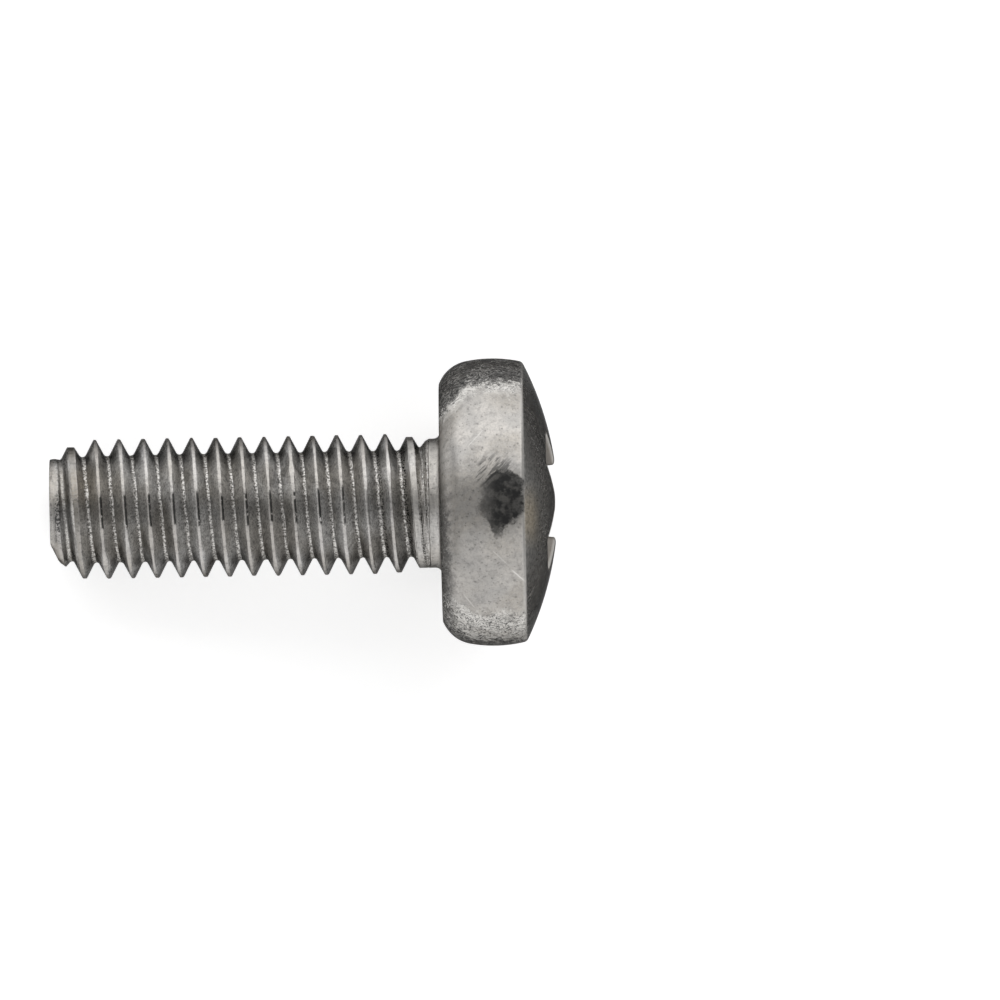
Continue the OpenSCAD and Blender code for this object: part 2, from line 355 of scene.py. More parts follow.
def screwSkin():
    # One closed skin: the head's rings, then the shank's rows. A shank row keeps its place in
    # the thread's section and climbs one pitch a turn, so its last column meets the first
    # column of the row a whole turn further on. Rows past either end fold onto the end rings.
    count, pitch = columns, size["pitch"]
    rings, ringMarks = headRings()
    c = np.arange(count)
    n = (c + 1) % count
    points = [np.array([[0, 0, float(floorHeight(np.array(0.0)))]])] + rings
    marks = [np.array([[1, 0, 0, 0, 0]])] + [np.tile(m, (count, 1)) for m in ringMarks]
    triangles = [np.stack([0 * c, 1 + c, 1 + n], -1)]
    quads = []
    for k in range(len(rings) - 1):
        a = 1 + k * count
        quads.append(np.stack([a + c, a + count + c, a + count + n, a + n], -1))
    neckRing = 1 + (len(rings) - 1) * count
    tipRing = neckRing + count

    # the rows' heights, and which of them are on the crest
    turns = int(ceil((size["shankLength"] - size["crestStart"]) / pitch)) + 3
    turn = radians(size["recessTurn"]) + 2 * pi * c / count
    crestNumber = np.arange(turns)[:, None] - 2
    travel = turn + 2 * pi * crestNumber
    after, before = rowParts(travel), rowParts(travel + 2 * pi)
    parts = np.stack(after + [0.5 + 0 * travel] + [1 - part for part in before[:0:-1]], 1)
    per = parts.shape[1]
    s = (-size["shankLength"] + size["crestStart"] + pitch * (
        crestNumber[:, None] + parts + turn / (2 * pi))).reshape(-1, count)
    onCrest = np.tile([1, 1, 1] + [0] * (per - 5) + [1, 1], turns)[:, None] * (1 - neckFade(s))

    # the points that lie between the two ends
    tipFace = -size["shankLength"] + size["tipInset"]
    endGap = 0.008
    atTip, atNeck = s < tipFace + endGap, s > -size["neckLength"] - endGap
    free = ~(atTip | atNeck)
    index = np.full(s.shape, 0)
    index[free] = tipRing + count + np.arange(free.sum())
    index = np.where(atNeck, neckRing + c, np.where(atTip, tipRing + c, index))
    tipR = threadRadius(np.full(count, tipFace), turn) - size["tipBevel"]
    around = np.stack([np.cos(turn), np.sin(turn)], -1)
    tipHeight = np.full((count, 1), tipFace)
    points.append(np.concatenate([tipR[:, None] * around, tipHeight], -1))
    freeTurn = np.broadcast_to(turn, s.shape)[free]
    radius = threadRadius(s[free], freeTurn)
    points.append(np.stack([radius * np.cos(freeTurn), radius * np.sin(freeTurn), s[free]], -1))
    shankMarks = np.zeros((count + free.sum(), 5))
    shankMarks[count:, 4] = onCrest[free]
    marks.append(shankMarks)

    # two triangles between each point and its neighbours, without the folded ones
    right = np.empty_like(index)
    right[:, :-1] = index[:, 1:]
    right[:-per, -1] = index[per:, 0]
    right[-per:, -1] = neckRing
    a, b, d, e = index[:-1], right[:-1], index[1:], right[1:]
    strip = np.concatenate([np.stack(corners, -1).reshape(-1, 3) for corners in ((a, b, e), (a, e, d))])
    first, second, third = strip.T
    triangles.append(strip[(first != second) & (second != third) & (first != third)])

    # the tip's flat face, ring by ring to its middle
    last, total = tipRing, tipRing + count + int(free.sum())
    faceParts = (0.985, 0.8, 0.55, 0.3, 0.1)
    for share in faceParts:
        points.append(np.concatenate([share * tipR[:, None] * around, tipHeight - size["tipSag"]], -1))
        quads.append(np.stack([last + c, total + c, total + n, last + n], -1))
        last, total = total, total + count
    points.append(np.array([[0, 0, tipFace - size["tipSag"]]]))
    marks.append(np.zeros((len(faceParts) * count + 1, 5)))
    triangles.append(np.stack([last + c, 0 * c + total, last + n], -1))
    return tuple(np.concatenate(pieces) for pieces in (points, quads, triangles, marks))


def makeMesh(name, points, quads, triangles):
    # puts whole arrays of points, four-sided faces and three-sided faces into one mesh
    mesh = bpy.data.meshes.new(name)
    corners = np.concatenate([quads.ravel(), triangles.ravel()]).astype(np.int32)
    starts = np.concatenate([np.arange(len(quads)) * 4,
                             len(quads) * 4 + np.arange(len(triangles)) * 3]).astype(np.int32)
    mesh.vertices.add(len(points))
    mesh.vertices.foreach_set("co", points.astype(np.float32).ravel())
    mesh.loops.add(len(corners))
    mesh.loops.foreach_set("vertex_index", corners)
    mesh.polygons.add(len(starts))
    mesh.polygons.foreach_set("loop_start", starts)
    mesh.polygons.foreach_set("use_smooth", np.ones(len(starts), bool))
    mesh.update(calc_edges=True)
    return mesh


markNames = ("recessMark", "lipMark", "rimMark", "domeMark", "crestMark")
own, quads, triangles, marks = screwSkin()
screwMesh = makeMesh("machineScrew", layDown(own), quads, triangles)
for k, name in enumerate(markNames):
    layer = screwMesh.attributes.new(name, "FLOAT", "POINT")
    layer.data.foreach_set("value", marks[:, k].astype(np.float32))
screw = bpy.data.objects.new("machineScrew", screwMesh)
bpy.context.scene.collection.objects.link(screw)
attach(screw, "root")
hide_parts("machine_screw")
print("screw made:", len(own), "points,", 2 * len(quads) + len(triangles), "triangles")


def nodeTools(tree):
    # helpers that add nodes and set or join their sockets
    def put(socket, value):
        if isinstance(value, bpy.types.NodeSocket):
            tree.links.new(value, socket)
        else:
            socket.default_value = value

    def add(kind, values=None, **settings):
        made = tree.nodes.new(kind)
        for key, value in settings.items():
            setattr(made, key, value)
        for key, value in (values or {}).items():
            put(made.inputs[key], value)
        return made

    def calc(operation, *values):
        made = add("ShaderNodeMath", operation=operation)
        for socket, value in zip(made.inputs, values):
            put(socket, value)
        return made.outputs[0]

    def chain(operation):
        # one operation over any number of values, from the first to the last
        return lambda *values: reduce(lambda total, value: calc(operation, total, value), values)

    def ramp(value, low, high, bottom=0.0, top=1.0):
        # a smooth step from bottom, at low, to top, at high
        made = add("ShaderNodeMapRange", {"Value": value, "From Min": low, "From Max": high,
                                          "To Min": bottom, "To Max": top},
                   interpolation_type="SMOOTHSTEP")
        return made.outputs["Result"]

    def noise(vector, scale, detail=2.0, rough=0.5, distortion=0.0):
        made = add("ShaderNodeTexNoise", {"Vector": vector, "Scale": scale, "Detail": detail,
                                          "Roughness": rough, "Distortion": distortion})
        return made.outputs["Fac"]

    def stretched(vector, turn, scales, shift=0.0):
        # coordinates turned about the sideways axis, then squeezed or stretched
        made = add("ShaderNodeMapping", {"Vector": vector, "Rotation": (radians(turn), 0, 0),
                                         "Location": (shift, shift, shift),
                                         "Scale": tuple(1 / v for v in scales)},
                   vector_type="TEXTURE")
        return made.outputs["Vector"]

    def blend(factor, a, b):
        # colour a, and colour b over it where the factor is 1
        made = add("ShaderNodeMix", data_type="RGBA", clamp_factor=True)
        put(made.inputs["Factor"], factor)
        put(made.inputs["A"], a)
        put(made.inputs["B"], b)
        return made.outputs["Result"]

    times, plus = chain("MULTIPLY"), chain("ADD")
    return SimpleNamespace(
        add=add, calc=calc, ramp=ramp, noise=noise, stretched=stretched, blend=blend,
        times=times, plus=plus, greatest=chain("MAXIMUM"), least=chain("MINIMUM"),
        minus=lambda a, b: calc("SUBTRACT", a, b),
        over=lambda a, b: calc("DIVIDE", a, b),
        far=lambda value: calc("ABSOLUTE", value),
        outside=lambda mask: calc("SUBTRACT", 1.0, mask),
        apart=lambda a, b: calc("SQRT", plus(times(a, a), times(b, b))),
        swing=lambda value, amount: times(calc("SUBTRACT", value, 0.5), amount))    # of a noise


def emptyMaterial(name):
    # a material without nodes, and the helpers for its tree, which are called t from here on
    material = bpy.data.materials.new(name)
    material.use_nodes = True
    material.node_tree.nodes.clear()
    return material, nodeTools(material.node_tree)


# Finish of the steel. Colours are what the metal reflects. Lengths are in mm: s along the axis
# from the bearing face, y to the picture's top and x to the floor. A mark's edge is where it
# begins and where it is full, and a fade has its two strengths after that.
steelFinish = {
    "pale": (0.47, 0.449, 0.423, 1), "dull": (0.362, 0.351, 0.337, 1),
    "dark": (0.059, 0.059, 0.059, 1), "bright": (0.62, 0.605, 0.58, 1),
    "warm": (0.30, 0.27, 0.225, 1), "dome": (0.184, 0.182, 0.178, 1),
    # the lens's dark reflection painted on the head; then the recess walls, darker
    "blot": (0.031, 0.031, 0.031, 1), "recess": (0.17, 0.155, 0.14, 1),
    # the recess floor, lighter as painted light; then the flanks
    "recessFloor": (0.60, 0.555, 0.495, 1), "flank": (0.718, 0.714, 0.706, 1),
    # the crest; then the root's line, lighter than the shade round it as a painted highlight, also used
    # for the run-out's striations
    "crest": (0.50, 0.485, 0.465, 1), "root": (0.42, 0.405, 0.385, 1),
    # painted shade in the roots; then the tip's colour, which on its first crest is painted shade
    # beside a lighter edge
    "groove": (0.24, 0.235, 0.228, 1), "tip": (0.29, 0.28, 0.268, 1),
    # near black for the painted reflection of the lens beside the crests; then the metal's tint at
    # grazing angles
    "seam": (0.020, 0.020, 0.020, 1), "edgeTint": (0.05, 0.05, 0.05, 1),
    "roughness": 0.34, "shankRoughness": 0.30, "bumpDepth": 7e-6,
    # noises: scale per mm, detail, roughness, distortion
    "noises": {"fine": (16.0, 2, 0.65), "coarse": (5.2, 2, 0.6), "cloud": (2.4, 2, 0.55),
               "slow": (0.9, 1, 0.5), "mottle": (9.0, 2, 0.6), "grit": (26.0, 1, 0.5),
               "crumple": (6.5, 2, 0.6, 1.6)},
    # brush strokes: turn, stretch along x, y and s, shift
    "streaks": (45, (5, 1.9, 15)), "crossStreaks": (-50, (5, 2.2, 17), 4.0),
    "pitCells": 11.0, "pitEdge": (0.26, 0.10),
    "folds": (-0.47, 0.042, 0.012), "creases": (-0.56, 0.036, 0.010),       # lines in the crumple
    # sides and ends, by s or, for the side away from the floor, by x
    "headStart": (-0.02, 0.02), "topSide": (-1.0, -1.7),
    "threadEnd": (-0.42, -0.5), "neckStart": (-0.240, -0.222), "runOutStart": (-0.75, -0.55),
    # head: bands of painted shade and scuffs, by y, which grows down the corner: from which s, slope,
    # lower share
    "bandCorner": (0.62, 1.15, 0.62), "upperBand": (2.36, 2.54), "lowerBand": (2.78, 2.88),
    "upperScuff": (2.16, 2.42), "upperScuffEnd": (2.80, 2.45), "lowerScuff": (2.12, 2.42),
    "scuffFade": (2.85, 2.6, 0.5, 1.0),
    "underBand": (0.10, -0.16), "underFade": (-0.3, 0.5, 0.85, 0.35),
    "upperWorn": (2.15, 2.5), "lowerWorn": (2.1, 2.5),
    # head: the dark blot, a painted reflection of the lens, the strokes above it, and a smudge; places
    # and sizes are along s and y
    "blotPlace": (1.28, 0.02), "blotSize": (0.50, 0.66), "blotEdge": (1.10, 0.70),
    "blotLower": (-0.80, -0.12, 0.13, 1.0), "blotUpper": (0.76, 0.30, 0.1, 1.0),
    "blotFade": (-0.45, -0.05, 0.70, 1.0), "blotEnd": (1.765, 1.735), "blotLean": -0.14,
    "strokePlace": (1.12, 0.62), "strokeSize": (0.50, 0.42), "strokeEdge": (1.2, 0.45),
    "smudgePlace": (0.72, -0.15), "smudgeEdge": (0.75, 0.1), "smudgeFlat": 0.75,
    # each scratch: from s and y, to s and y, width, strength
    "scratches": [(1.42, -1.37, 1.75, -1.67, 0.020, 0.9), (0.55, 1.10, 0.95, 1.52, 0.014, 0.35),
                  (1.02, -0.95, 1.40, -1.32, 0.014, 0.35), (0.42, -1.85, 0.70, -2.20, 0.012, 0.4)],
    # dome: cracks from the wings' ends, and spots of hatching with x, y and reach
    "crackEdge": (0.020, 0.006), "crackStart": (1.72, 1.80), "crackGaps": (0.42, 0.52),
    "hatchSpots": [(0.12, 1.25, 0.46), (-0.05, -1.10, 0.24)], "hatchGaps": (0.40, 0.50),
    # a warm, lighter patch on the dome near its edge: a warm tint and a painted highlight
    "domeWarmth": (-0.30, 0.80, 0.05),      # its middle y, and its edge
    # thread, by the distance from the crest line or the root, head side positive
    "crestEdge": (0.062, 0.050), "crestFree": (-0.85, -1.0),
    # a painted highlight line in the root, then painted shade beside it
    "ribbonShift": 0.015, "ribbonEdge": (0.047, 0.036), "ribbonFade": (-7.9, -7.6, 0.25, 1.0),
    "besideRoot": (0.062, 0.045), "neckFade": (-1.9, -1.0, 0.35, 1.0),
    "rubbleStart": (0.02, 0.04), "rubbleEnd": (0.125, 0.09),
    # the black lines beside the crests: a painted reflection of the dark lens
    "seamStart": (-0.006, 0.002), "seamEnd": (0.048, 0.037), "seamReach": (0.38, 0.31),
    "seamMiddle": -0.02, "seamGaps": (0.33, 0.40), "seamSide": (-0.8, -1.1),
    "seamTip": (-7.4, -7.3), "seamNeck": (-0.8, -2.2),
    # tip, by s
    "nearTip": (-7.35, -7.5), "tipRim": (-7.985, -8.0), "tipTone": (-7.84, -7.90),
    # painted shade in the groove behind the tip's first crest: by the distance from the crest line, and
    # by s where it ends
    "tipWarmth": (-6.5, -7.3), "tipGroove": (-0.095, -0.115, -0.22, -0.18),
    "tipGrooveEnd": (-7.97, -7.93), "tipPits": (-7.97, -7.95, -7.82, -7.86),
    "tipPitReach": (0.62, 0.25), "tipPitMiddle": -0.15,
    "stripes": (24.0, 1.8),                 # where the groove runs out: in a pitch, shortness
    # darker along the upper side: by y as a share of the radius, and off the tip's flat face
    "shadeSide": (0.74, 0.97), "shadeOff": (0.96, 1.04),
    # the recess floor is lighter, as painted light where little lamp light reaches it
    "floorTone": (0.09, 0.02),              # the recess floor's colour, by the height over it
    "turningMarks": (62.0, 0.62, 0.45),     # rings in the recess: radians per mm, and their edge
}
finish = steelFinish


def steelGround(t):
    # What all masks share, called g from here on: the place in the screw's own frame, in mm, the
    # mesh's marks, the noises, and which part a point is on. The Mapping node turns Object
    # coordinates so that z runs along the axis.
    place = t.add("ShaderNodeTexCoord").outputs["Object"]
    turned = t.add("ShaderNodeMapping", {"Vector": place, "Rotation": (0, tilt - pi / 2, 0),
                                         "Scale": (1000, 1000, 1000)}).outputs["Vector"]
    x, y, s = t.add("ShaderNodeSeparateXYZ", {"Vector": turned}).outputs
    g = SimpleNamespace(x=x, y=y, s=s, turned=turned, radius=t.apart(x, y))
    for name in markNames:
        setattr(g, name, t.add("ShaderNodeAttribute", attribute_name=name).outputs["Fac"])
    for name, values in finish["noises"].items():
        setattr(g, name, t.noise(turned, *values))
    g.streaks, g.crossStreaks = (t.noise(t.stretched(turned, *finish[name]), 1.0, 2, 0.6)
                                 for name in ("streaks", "crossStreaks"))
    cell = t.add("ShaderNodeTexVoronoi", {"Vector": turned, "Scale": finish["pitCells"]})
    g.pits = t.ramp(t.plus(cell.outputs["Distance"], t.swing(g.mottle, -0.6)), *finish["pitEdge"])
    g.folds, g.creases = (t.ramp(t.far(t.plus(g.crumple, finish[name][0])), *finish[name][1:])
                          for name in ("folds", "creases"))
    g.onHead = t.ramp(s, *finish["headStart"])
    g.onShank = t.outside(g.onHead)
    g.topSide = t.ramp(x, *finish["topSide"])
    return g


def markHead(t, g):
    # Painted shade at the head's edges: a dark crumpled band along one side and down the corner, a
    # thin one on the other side and one by the corner at the bearing face; and brighter scuffs beside
    # them.
    fromS, slope, lowerShare = finish["bandCorner"]
    down = t.times(t.greatest(t.minus(fromS, g.s), 0.0), slope)
    g.upperPlace = t.plus(g.y, down)
    g.lowerPlace = t.plus(t.times(g.y, -1), t.times(down, lowerShare))
    upper = t.plus(g.upperPlace, t.swing(g.coarse, 0.5), t.swing(g.streaks, 0.25))
    lower = t.plus(g.lowerPlace, t.swing(g.coarse, 0.45), t.swing(g.crossStreaks, 0.3))
    offDome = t.outside(g.domeMark)
    upperScuff = t.times(t.ramp(upper, *finish["upperScuff"]),
                         t.ramp(upper, *finish["upperScuffEnd"]), g.onHead)
    g.lowerScuff = t.times(t.ramp(lower, *finish["lowerScuff"]), g.onHead)
    g.scuff = t.times(t.greatest(upperScuff, g.lowerScuff),
                      t.ramp(t.far(g.y), *finish["scuffFade"]), offDome)
    under = t.plus(g.s, t.times(g.coarse, -0.30), t.times(g.streaks, -0.2))
    underBand = t.times(t.ramp(under, *finish["underBand"]), t.ramp(g.y, *finish["underFade"]))
    bands = t.greatest(t.ramp(upper, *finish["upperBand"]), t.ramp(lower, *finish["lowerBand"]),
                       underBand)
    g.band = t.times(bands, g.onHead, offDome)

    # the dark blot on the side away from the floor, a painted reflection of the lens, is an uneven
    # oval, drawn out below
    blotS, blotY = finish["blotPlace"]
    wide, tall = finish["blotSize"]
    ragged = t.noise(t.stretched(g.turned, 20, (3, 3, 3), 9.0), 1.0, 3, 0.6)
    u = t.plus(g.s, -blotS, t.swing(t.noise(g.turned, 3.6, 3, 0.6), 0.34))
    v = t.plus(g.y, -blotY, t.swing(ragged, 0.36))
    narrow = t.least(t.ramp(v, *finish["blotLower"]), t.ramp(v, *finish["blotUpper"]))
    away = t.over(t.far(t.plus(u, t.times(v, finish["blotLean"]))), t.times(narrow, wide))
    away = t.greatest(away, t.over(t.far(v), tall * 1.12))
    g.blot = t.times(t.ramp(t.plus(away, t.swing(g.fine, 0.4)), *finish["blotEdge"]),
                     t.ramp(u, *finish["blotFade"]), t.ramp(g.s, *finish["blotEnd"]),
                     g.topSide, g.onHead)

    # strokes above the painted lens reflection, and a smudge to its left
    (strokeS, strokeY), (long, high) = finish["strokePlace"], finish["strokeSize"]
    away = t.apart(t.over(t.plus(g.s, -strokeS), long), t.over(t.plus(g.y, -strokeY), high))
    g.strokes = t.times(t.ramp(away, *finish["strokeEdge"]), t.ramp(g.streaks, 0.46, 0.58),
                        g.topSide, g.onHead)
    smudgeS, smudgeY = finish["smudgePlace"]
    away = t.apart(t.plus(g.s, -smudgeS), t.times(t.plus(g.y, -smudgeY), finish["smudgeFlat"]))
    g.smudge = t.times(t.ramp(away, *finish["smudgeEdge"]), g.topSide, g.onHead)

    # scratches, each a straight strip that is thin at both ends
    strips = []
    for fromS, fromY, toS, toY, width, strength in finish["scratches"]:
        length = sqrt((toS - fromS) ** 2 + (toY - fromY) ** 2)
        cs, cy = (toS - fromS) / length, (toY - fromY) / length
        ds, dy = t.plus(g.s, -fromS), t.plus(g.y, -fromY)
        along = t.plus(t.times(ds, cs), t.times(dy, cy))
        aside = t.far(t.plus(t.times(ds, cy), t.times(dy, -cs), t.swing(g.fine, 0.012)))
        strips.append(t.times(t.ramp(aside, width, width * 0.3), t.ramp(along, 0, length * 0.3),
                              t.ramp(along, length, length * 0.8), strength))
    g.scratches = t.times(t.greatest(*strips), g.topSide, g.onHead)


def markDome(t, g):
    # Broken cracks that run out from the wings' ends, along the lines x = y and x = -y, dark
    # hatching by two corners, and a dark crease round the lip.
    diagonal = t.times(t.plus(g.x, g.y), sqrt(0.5))
    counter = t.times(t.plus(g.x, t.times(g.y, -1)), sqrt(0.5))
    aside = t.least(t.far(t.plus(diagonal, t.swing(g.cloud, 0.3), t.swing(g.fine, 0.05))),
                    t.far(t.plus(counter, t.swing(g.coarse, 0.2), t.swing(g.fine, 0.05))))
    g.cracks = t.times(t.ramp(aside, *finish["crackEdge"]), t.ramp(g.radius, *finish["crackStart"]),
                       t.ramp(g.cloud, *finish["crackGaps"]), g.domeMark)
    spots = []
    for spotX, spotY, reach in finish["hatchSpots"]:
        away = t.apart(t.plus(g.x, -spotX), t.plus(g.y, -spotY))
        spots.append(t.ramp(t.plus(away, t.swing(g.coarse, 0.25)), reach, reach * 0.55))
    g.hatching = t.times(t.greatest(*spots), t.ramp(g.crossStreaks, *finish["hatchGaps"]),
                         g.domeMark)
    g.lipCrease = t.times(t.ramp(g.lipMark, 0.04, 0.22), t.ramp(g.lipMark, 0.62, 0.36),
                          t.ramp(g.domeMark, 0.6, 0.8))


def markThread(t, g):
    # Marks along the helix. The phase counts turns from the crest line, so its fraction times
    # the pitch is the distance from that line, or with half a turn between them, from the root.
    x, y, s = g.x, g.y, g.s
    angle = t.calc("ARCTAN2", y, x)
    rise = t.plus(s, size["shankLength"] - size["crestStart"])
    phase = t.minus(t.over(rise, size["pitch"]), t.over(angle, 2 * pi))
    g.offset = t.times(t.minus(t.calc("FRACT", t.plus(phase, 0.5)), 0.5), size["pitch"])
    fromRoot = t.times(t.plus(t.calc("FRACT", phase), -0.5), size["pitch"])
    g.onThread = t.times(g.onShank, t.ramp(s, *finish["threadEnd"]))
    g.onNeck = t.times(g.onShank, t.ramp(s, *finish["neckStart"]))
    g.crest = t.times(g.crestMark, t.greatest(t.ramp(s, *finish["crestFree"]),
                                              t.ramp(t.far(g.offset), *finish["crestEdge"])))
    g.offCrest = t.outside(g.crest)

    # painted shade in the root, a lighter speckled line left in it as a painted highlight, and rubble
    # on its head side
    ribbon = t.plus(fromRoot, finish["ribbonShift"], t.swing(g.fine, 0.030), t.swing(g.mottle, 0.03))
    g.ribbon = t.times(t.ramp(t.far(ribbon), *finish["ribbonEdge"]), g.onThread,
                       t.ramp(s, *finish["ribbonFade"]))
    g.besideRoot = t.times(t.ramp(t.far(fromRoot), *finish["besideRoot"]), g.onThread)
    g.nearNeck = t.ramp(s, *finish["neckFade"])
    rubbleEnd = (t.times(g.nearNeck, limit) for limit in finish["rubbleEnd"])
    g.rubble = t.times(t.ramp(t.plus(fromRoot, t.swing(g.mottle, 0.03)), *finish["rubbleStart"]),
                       t.ramp(t.plus(fromRoot, t.swing(g.fine, 0.04)), *rubbleEnd), g.onThread)

    # painted reflection of the dark lens: black lines beside the crests, in the middle of the side away
    # from the floor
    middle = t.plus(y, -finish["seamMiddle"], t.swing(g.cloud, 0.45), t.swing(g.mottle, 0.10))
    g.seam = t.times(t.ramp(t.plus(g.offset, t.swing(g.coarse, 0.02)), *finish["seamStart"]),
                     t.ramp(t.plus(g.offset, t.swing(g.fine, 0.02)), *finish["seamEnd"]),
                     t.ramp(t.far(middle), *finish["seamReach"]),
                     t.ramp(g.mottle, *finish["seamGaps"]), t.ramp(x, *finish["seamSide"]),
                     t.ramp(s, *finish["seamTip"]), t.ramp(s, *finish["seamNeck"]), g.onThread)

    # tip: a bright rim, painted shade in the groove, and pits behind it
    g.nearTip, g.tipRim = t.ramp(s, *finish["nearTip"]), t.ramp(s, *finish["tipRim"])
    g.tipGroove = t.times(g.nearTip,
                          t.ramp(t.plus(g.offset, t.swing(g.mottle, 0.03)), *finish["tipGroove"][:2]),
                          t.ramp(g.offset, *finish["tipGroove"][2:]),
                          t.ramp(s, *finish["tipGrooveEnd"]))
    middle = t.plus(y, -finish["tipPitMiddle"], t.swing(g.coarse, 0.9))
    g.tipPits = t.times(t.ramp(s, *finish["tipPits"][:2]), t.ramp(s, *finish["tipPits"][2:]),
                        t.ramp(t.far(middle), *finish["tipPitReach"]))

    # striations along the helix where the groove runs out
    g.runOut = t.times(t.ramp(s, *finish["runOutStart"]), t.ramp(s, *finish["neckStart"][::-1]),
                       g.onShank, g.offCrest)
    count, length = finish["stripes"]
    helix = t.add("ShaderNodeCombineXYZ", {"X": t.times(phase, count),
                                           "Y": t.times(t.calc("SINE", angle), length),
                                           "Z": t.times(t.calc("COSINE", angle), length)})
    g.stripes = t.noise(helix.outputs[0], 1.0, 2, 0.65)


def steelColour(t, g):
    # Colour over colour, from the widest mark to the narrowest. Each row is a mask, its
    # strength, and the colour that it brings.
    y, s = g.y, g.s
    times, plus, greatest, ramp, far = t.times, t.plus, t.greatest, t.ramp, t.far
    warmY, *warmEdge = finish["domeWarmth"]
    layers = [
        (g.onShank, 0.8, "flank"),
        # painted shade in the roots
        (g.besideRoot, 0.7, "groove"),
        # the painted highlight line in the root, and the striations where the groove runs out
        (greatest(g.ribbon, g.runOut), 0.85, "root"),
        (greatest(g.crest, g.onNeck), 0.9, "crest"),
        # the tip's first crest darker except along its head-side edge, which stays lighter as a painted
        # highlight
        (times(g.nearTip, g.crest, ramp(g.offset, 0.065, 0.035)), 0.9, "tip"),
        (ramp(s, *finish["tipTone"]), 0.2, "tip"),
        (g.tipRim, 0.7, "crest"),
        (ramp(g.slow, 0.42, 0.62), 0.35, "warm"),
        (times(ramp(s, *finish["tipWarmth"]), ramp(y, -0.1, 0.3), ramp(y, 1.0, 0.7)), 0.5, "warm"),
        (times(g.smudge, ramp(g.streaks, 0.35, 0.65)), 0.75, "dull"),
        # painted shade on the head's lower side, near the bearing face
        (times(ramp(y, -0.6, -1.2), ramp(plus(s, t.swing(g.cloud, 0.8)), 1.3, 0.5), g.topSide,
               g.onHead), 0.16, "dark"),
        # grain all over
        (ramp(g.fine, 0.42, 0.62, 0.0, 0.42), 1, "dull"),
        (ramp(g.mottle, 0.48, 0.64), 0.19, "dark"),
        (times(ramp(g.grit, 0.46, 0.62), plus(0.12, times(g.onThread, g.offCrest, 0.30))), 1, "dark"),
        # dome
        (g.domeMark, 0.88, "dome"),
        # a warm, lighter patch on the dome: a warm tint and a painted highlight
        (times(g.domeMark, g.topSide, ramp(far(plus(y, -warmY)), *warmEdge), ramp(s, 2.10, 1.84)),
         0.9, "warm"),
        (times(g.domeMark, greatest(times(ramp(g.fine, 0.44, 0.60), 0.34), times(g.hatching, 0.9),
                                    times(g.cracks, ramp(g.mottle, 0.52, 0.47), 0.8))), 1, "dark"),
        (times(g.domeMark, greatest(times(g.cracks, 0.45), times(
            ramp(far(plus(g.streaks, -0.5)), 0.014, 0.004), 0.22))), 1, "bright"),
        # pits and speckles
        (times(g.pits, plus(0.36, times(g.lowerScuff, 0.45))), 1, "dark"),
        (greatest(times(g.ribbon, ramp(g.grit, 0.47, 0.40), 0.70),
                  times(g.rubble, g.nearNeck, ramp(g.grit, 0.53, 0.45)),
                  times(g.tipPits, ramp(g.grit, 0.54, 0.46), 0.9),
                  times(g.runOut, ramp(g.stripes, 0.52, 0.60), 0.85)), 1, "dark"),
        (times(greatest(g.ribbon, times(g.rubble, g.nearNeck, 0.7), times(g.runOut, 0.8)),
               ramp(g.grit, 0.50, 0.57)), 1, "bright"),
        # worn edges, lighter: on the lip from wear, on the rim from wear and a painted highlight
        (greatest(times(g.lipMark, 0.40), times(g.rimMark, 0.45)), 1, "bright"),
        (times(g.lipCrease, ramp(g.coarse, 0.40, 0.54)), 0.85, "dark"),
        # scuffs, bands of painted shade, and the painted reflection of the lens
        (times(g.scuff, ramp(g.cloud, 0.30, 0.50, 0.45, 0.8)), 1, "bright"),
        # the bands' painted shade with grain, the strokes, and folds in the scuffs
        (greatest(times(g.band, ramp(g.fine, 0.38, 0.64, 0.97, 0.74)), times(g.strokes, 0.75),
                  times(g.scuff, g.folds, 0.9)), 1, "dark"),
        (times(greatest(times(g.band, 0.4), times(g.scuff, 0.9)), g.creases,
               ramp(g.cloud, 0.36, 0.48)), 1, "bright"),
        # the painted reflection of the dark lens on the head
        (times(g.blot, ramp(plus(times(g.coarse, 0.5), times(g.mottle, 0.5)),
                            0.42, 0.62, 1.0, 0.80)), 1, "blot"),
        # shade by place
        (greatest(times(ramp(t.over(y, g.radius), *finish["shadeSide"]),
                        ramp(g.radius, *finish["shadeOff"]), g.onShank, 0.40),
                  times(g.tipGroove, 0.48),
                  times(ramp(y, 0.2, 1.2), g.domeMark, g.topSide, 0.2)), 1, "dark"),
        (g.scratches, 1, "bright"),
        # the painted reflection of the dark lens beside the crests
        (g.seam, 0.9, "seam"),
    ]
    colour = t.blend(ramp(g.cloud, 0.32, 0.70), finish["pale"], finish["dull"])
    for mask, strength, name in layers:
        amount = mask if strength == 1 else times(mask, strength)
        colour = t.blend(amount, colour, finish[name])
    # the recess: its walls darker, and its floor lighter as painted light where little lamp light
    # reaches it
    low, high = finish["floorTone"]
    inside = t.blend(ramp(s, recessFloor + low, recessFloor + high),
                     finish["recess"], finish["recessFloor"])
    return t.blend(g.recessMark, colour, inside)


